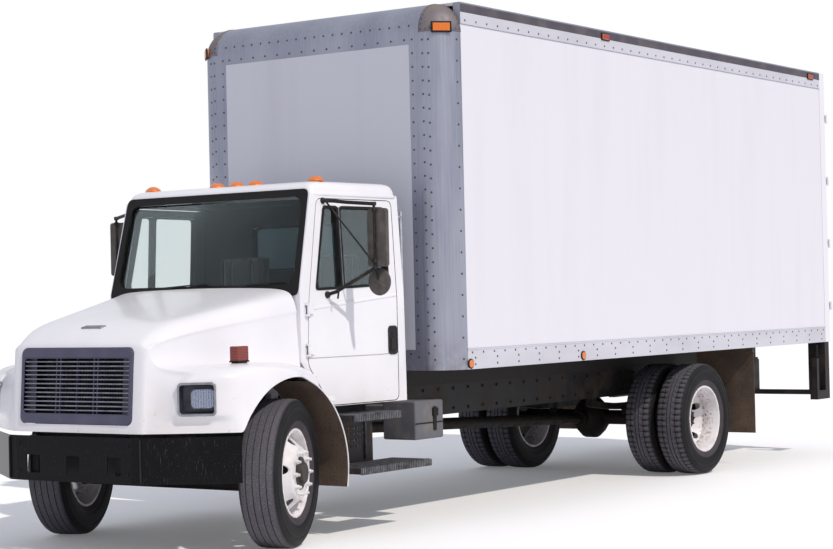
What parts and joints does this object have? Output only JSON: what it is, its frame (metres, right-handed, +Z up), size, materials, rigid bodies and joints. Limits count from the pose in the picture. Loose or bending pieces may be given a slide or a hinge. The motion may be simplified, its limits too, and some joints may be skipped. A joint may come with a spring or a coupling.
{
  "type": "box truck",
  "caption": "Conventional-cab box truck: ladder chassis, tilting hood, two-door cab, riveted van body with rear swing doors, steered front wheels and twin rear wheels.",
  "frame": {"origin": "on the ground, midway along the length and width", "axes": "+Z up, the truck faces -Y, +X to its left side"},
  "size_m": [2.676, 9.721, 3.885],
  "materials": {
    "white_paint": "gloss, sun-worn white",
    "chassis_black": "dusty satin black",
    "cast_dark": "oily dark castings",
    "bumper_black": "scuffed satin black",
    "tank_aluminium": "dull brushed",
    "step_steel": "worn black with bare treads",
    "box_grey": "textured grey",
    "flap_rubber": "dusty black rubber",
    "glass_dark": "tinted",
    "cab_trim": "grained dark grey",
    "seat_fabric": "woven grey",
    "bright_tube": "polished",
    "floor_wood": "worn hardwood planks",
    "side_panel": "white glass-fibre panel",
    "front_panel": "white glass-fibre panel",
    "roof_aluminium": "mill finish sheet",
    "body_aluminium": "mill finish, weathered",
    "frame_white": "white",
    "lamp_amber": "amber lens",
    "grille_grey": "blue-grey with bright bars",
    "lamp_clear": "clear lens in a bright bezel",
    "mirror_black": "satin black",
    "wheel_white": "white, rust-stained",
    "tyre_rubber": "dusty black",
    "radiator_core": "dark finned core",
    "exhaust_steel": "heat-stained"
  },
  "bodies": {
    "truck": {"chassis_frame": "chassis_black", "front_axle": "cast_dark", "rear_axle": "cast_dark", "leaf_springs": "cast_dark", "driveshaft": "cast_dark", "engine": "cast_dark", "radiator": "radiator_core", "front_bumper": "bumper_black", "fuel_tank": "tank_aluminium", "exhaust": "exhaust_steel", "cab_steps": "step_steel", "tool_box": "box_grey", "mud_guards": "white_paint", "mud_flaps": "flap_rubber", "cab_floor": "white_paint", "cab_front_panel": "white_paint", "cab_back_panel": "white_paint", "cab_door_frames": "white_paint", "cab_roof": "white_paint", "cab_glass": "glass_dark", "dashboard": "cab_trim", "steering_wheel": "cab_trim", "seats": "seat_fabric", "grab_handles": "bright_tube", "box_floor": "floor_wood", "box_side_walls": "side_panel", "box_front_wall": "front_panel", "box_roof": "roof_aluminium", "box_frame": "body_aluminium", "rear_frame": "frame_white", "marker_lamps": "lamp_amber", "rear_guard": "chassis_black"},
    "hood": {"hood": "white_paint", "grille": "grille_grey", "front_lamps": "lamp_clear"},
    "cab_door_left": {"door_left": "white_paint", "door_glass_left": "glass_dark", "mirror_left": "mirror_black"},
    "cab_door_right": {"door_right": "white_paint", "door_glass_right": "glass_dark", "mirror_right": "mirror_black"},
    "load_door_left": {"rear_door_left": "frame_white"},
    "load_door_right": {"rear_door_right": "frame_white"},
    "steer_knuckle_left": {"knuckle_left": "cast_dark"},
    "steer_knuckle_right": {"knuckle_right": "cast_dark"},
    "track_rod": {"tie_rod": "cast_dark"},
    "wheel_front_left": {"front_rim_left": "wheel_white", "front_tyre_left": "tyre_rubber"},
    "wheel_front_right": {"front_rim_right": "wheel_white", "front_tyre_right": "tyre_rubber"},
    "wheels_rear_left": {"rear_rims_left": "wheel_white", "rear_tyres_left": "tyre_rubber"},
    "wheels_rear_right": {"rear_rims_right": "wheel_white", "rear_tyres_right": "tyre_rubber"}
  },
  "joints": [
    {"name": "hood_tilt", "type": "hinge", "parent": "truck", "child": "hood", "pos_m": [0, -4.8055, 0.85], "axis": [1, 0, 0], "range_deg": [0, 80]},
    {"name": "door_left_hinge", "type": "hinge", "parent": "truck", "child": "cab_door_left", "pos_m": [0.922, -3.4735, 1.4], "axis": [0, 0, -1], "range_deg": [0, 68]},
    {"name": "door_right_hinge", "type": "hinge", "parent": "truck", "child": "cab_door_right", "pos_m": [-0.922, -3.4735, 1.4], "axis": [0, 0, 1], "range_deg": [0, 68]},
    {"name": "load_door_left_hinge", "type": "hinge", "parent": "truck", "child": "load_door_left", "pos_m": [1.229, 4.8445, 2.4], "axis": [0, 0, -1], "range_deg": [0, 266]},
    {"name": "load_door_right_hinge", "type": "hinge", "parent": "truck", "child": "load_door_right", "pos_m": [-1.229, 4.8445, 2.4], "axis": [0, 0, 1], "range_deg": [0, 266]},
    {"name": "steer_left", "type": "hinge", "parent": "truck", "child": "steer_knuckle_left", "pos_m": [0.93, -3.8905, 0.503], "axis": [0, 0, 1], "range_deg": [-57, 16]},
    {"name": "steer_right", "type": "hinge", "parent": "truck", "child": "steer_knuckle_right", "pos_m": [-0.93, -3.8905, 0.503], "axis": [0, 0, 1], "range_deg": [-57, 16]},
    {"name": "track_rod_pivot", "type": "hinge", "parent": "steer_knuckle_left", "child": "track_rod", "pos_m": [0.88426, -3.76881, 0.367], "axis": [0, 0, 1], "range_deg": [-16, 57]},
    {"name": "spin_front_left", "type": "hinge", "parent": "steer_knuckle_left", "child": "wheel_front_left", "pos_m": [0.93, -3.8905, 0.503], "axis": [0.9361, 0.3518, 0], "continuous": true},
    {"name": "spin_front_right", "type": "hinge", "parent": "steer_knuckle_right", "child": "wheel_front_right", "pos_m": [-0.93, -3.8905, 0.503], "axis": [0.9361, 0.3518, 0], "continuous": true},
    {"name": "spin_rear_left", "type": "hinge", "parent": "truck", "child": "wheels_rear_left", "pos_m": [0.9, 2.0025, 0.503], "axis": [1, 0, 0], "continuous": true},
    {"name": "spin_rear_right", "type": "hinge", "parent": "truck", "child": "wheels_rear_right", "pos_m": [-0.9, 2.0025, 0.503], "axis": [1, 0, 0], "continuous": true}
  ],
  "couplings": [
    {"joint": "steer_right", "follows": "steer_left", "ratio": 1},
    {"joint": "track_rod_pivot", "follows": "steer_left", "ratio": -1}
  ]
}
